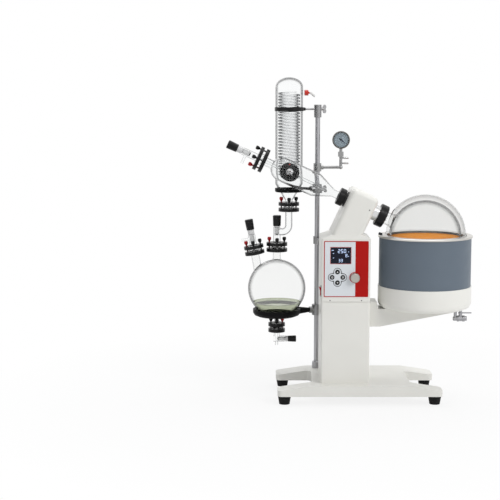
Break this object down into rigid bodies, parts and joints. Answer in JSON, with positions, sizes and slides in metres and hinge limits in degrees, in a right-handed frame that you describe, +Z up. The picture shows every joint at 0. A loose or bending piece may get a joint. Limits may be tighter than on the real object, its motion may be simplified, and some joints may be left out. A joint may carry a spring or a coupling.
{
  "type": "rotary evaporator",
  "caption": "Bench rotary evaporator: tilted spindle drive with round flask over a lifting heated bath, vertical coil condenser, receiving flask, valves and vacuum gauge on a rod.",
  "frame": {"origin": "on the bench, at the middle of the footprint of the whole object", "axes": "+Z up, +X from the receiving flask towards the bath, +Y from the control panel's face to the back"},
  "size_m": [0.9533, 0.4465, 1.2441],
  "materials": {
    "white_paint": "satin powder coat",
    "slate_paint": "satin powder coat",
    "steel": "brushed",
    "nickel": "plated",
    "aluminium": "satin",
    "black_plastic": "moulded, slight gloss",
    "black_paint": "semi-gloss paint",
    "red_plastic": "moulded, glossy",
    "glass": "clear borosilicate",
    "clear_plastic": "clear, slightly hazy",
    "rubber": "matte",
    "white_seal": "fluoropolymer, matte",
    "motor_grey": "painted",
    "panel_grey": "printed film",
    "board_green": "circuit board",
    "gauge_steel": "dark lacquered steel",
    "pointer_blue": "matte paint"
  },
  "bodies": {
    "stand": {"base_frame": "white_paint", "black_thumb_screws": "black_plastic", "clamp_plates": "black_plastic", "clamp_screws": "aluminium", "column_shell": "white_paint", "condenser_coil": "glass", "condenser_jacket": "glass", "condenser_ring": "black_paint", "condenser_strap": "black_plastic", "control_board": "board_green", "control_panel": "panel_grey", "coolant_caps": "red_plastic", "drain_cock": "glass", "drive_motor": "motor_grey", "gas_valve_bodies": "glass", "gauge_case": "gauge_steel", "gauge_manifold": "nickel", "guide_rods": "steel", "head_housing": "white_paint", "lift_actuator": "motor_grey", "outlet_elbow": "glass", "power_inlet": "black_plastic", "rear_cover": "white_paint", "receiver_ring": "black_paint", "receiving_flask": "glass", "red_thumb_screws": "red_plastic", "rod_clamps": "aluminium", "rod_stay": "aluminium", "rubber_feet": "rubber", "spindle_bearings": "steel", "support_rod": "steel", "vacuum_seal": "white_seal", "vapour_head": "glass", "vapour_head_nut": "black_plastic"},
    "rotor": {"spindle": "steel", "spindle_gear": "steel", "flask_nut": "black_plastic", "evaporating_flask": "glass", "vapour_duct": "glass"},
    "pinion": {"drive_pinion": "steel"},
    "bath": {"bath_arm": "white_paint", "lift_piston": "steel", "bath_pan": "white_paint", "bath_wall": "slate_paint", "bath_vessel": "steel", "bath_heater": "aluminium", "bath_drain_valve": "nickel"},
    "drain_lever": {"drain_lever": "nickel"},
    "dome": {"splash_dome": "clear_plastic"},
    "knob": {"speed_knob": "aluminium"},
    "rocker": {"power_rocker": "red_plastic"},
    "pointer": {"gauge_pointer": "pointer_blue"},
    "feed_key": {"feed_valve_key": "black_plastic"},
    "vacuum_key": {"vacuum_valve_key": "black_plastic"},
    "receiver_key": {"receiver_valve_key": "black_plastic"},
    "drain_key": {"drain_valve_key": "black_plastic"},
    "key_up": {"button_up": "black_plastic"},
    "key_left": {"button_left": "black_plastic"},
    "key_right": {"button_right": "black_plastic"},
    "key_down": {"button_down": "black_plastic"}
  },
  "joints": [
    {"name": "flask_spin", "type": "hinge", "parent": "stand", "child": "rotor", "pos_m": [0.2915, -0.042, 0.6345], "axis": [0.9063, 0, -0.4226], "continuous": true},
    {"name": "pinion_spin", "type": "hinge", "parent": "stand", "child": "pinion", "pos_m": [0.26931, -0.042, 0.58692], "axis": [0.9063, 0, -0.4226], "continuous": true},
    {"name": "bath_lift", "type": "slide", "parent": "stand", "child": "bath", "axis": [0, 0, 1], "range_m": [-0.15, 0]},
    {"name": "drain_lever_turn", "type": "hinge", "parent": "bath", "child": "drain_lever", "pos_m": [0.4335, -0.042, 0.334], "axis": [0, 0, 1], "range_deg": [0, 90]},
    {"name": "dome_lift", "type": "slide", "parent": "stand", "child": "dome", "axis": [0, 0, 1], "range_m": [0, 0.16]},
    {"name": "speed_turn", "type": "hinge", "parent": "stand", "child": "knob", "pos_m": [0.014, -0.139, 0.487], "axis": [0, 1, 0], "range_deg": [0, 300]},
    {"name": "rocker_tip", "type": "hinge", "parent": "stand", "child": "rocker", "pos_m": [-0.1105, -0.113, 0.432], "axis": [0, 1, 0], "range_deg": [0, 16]},
    {"name": "pointer_swing", "type": "hinge", "parent": "stand", "child": "pointer", "pos_m": [-0.023, 0.142, 0.998], "axis": [0, -1, 0], "range_deg": [0, 260], "stiffness_Nm_per_rad": 0.002},
    {"name": "feed_valve_turn", "type": "hinge", "parent": "stand", "child": "feed_key", "pos_m": [-0.342, -0.042, 0.92991], "axis": [-0.9063, 0, 0.4226], "range_deg": [0, 1080]},
    {"name": "vacuum_valve_turn", "type": "hinge", "parent": "stand", "child": "vacuum_key", "pos_m": [-0.36799, 0.108, 0.56364], "axis": [-0.1822, 0, 0.9833], "range_deg": [0, 1080]},
    {"name": "receiver_valve_turn", "type": "hinge", "parent": "stand", "child": "receiver_key", "pos_m": [-0.27799, 0.108, 0.57514], "axis": [0, 0, 1], "range_deg": [0, 1080]},
    {"name": "drain_valve_turn", "type": "hinge", "parent": "stand", "child": "drain_key", "pos_m": [-0.27799, 0.108, 0.20364], "axis": [1, 0, 0], "range_deg": [0, 1080]},
    {"name": "up_press", "type": "slide", "parent": "stand", "child": "key_up", "axis": [0, 1, 0], "range_m": [0, 0.001], "stiffness_N_per_m": 400},
    {"name": "left_press", "type": "slide", "parent": "stand", "child": "key_left", "axis": [0, 1, 0], "range_m": [0, 0.001], "stiffness_N_per_m": 400},
    {"name": "right_press", "type": "slide", "parent": "stand", "child": "key_right", "axis": [0, 1, 0], "range_m": [0, 0.001], "stiffness_N_per_m": 400},
    {"name": "down_press", "type": "slide", "parent": "stand", "child": "key_down", "axis": [0, 1, 0], "range_m": [0, 0.001], "stiffness_N_per_m": 400}
  ],
  "couplings": [
    {"joint": "pinion_spin", "follows": "flask_spin", "ratio": -2}
  ]
}
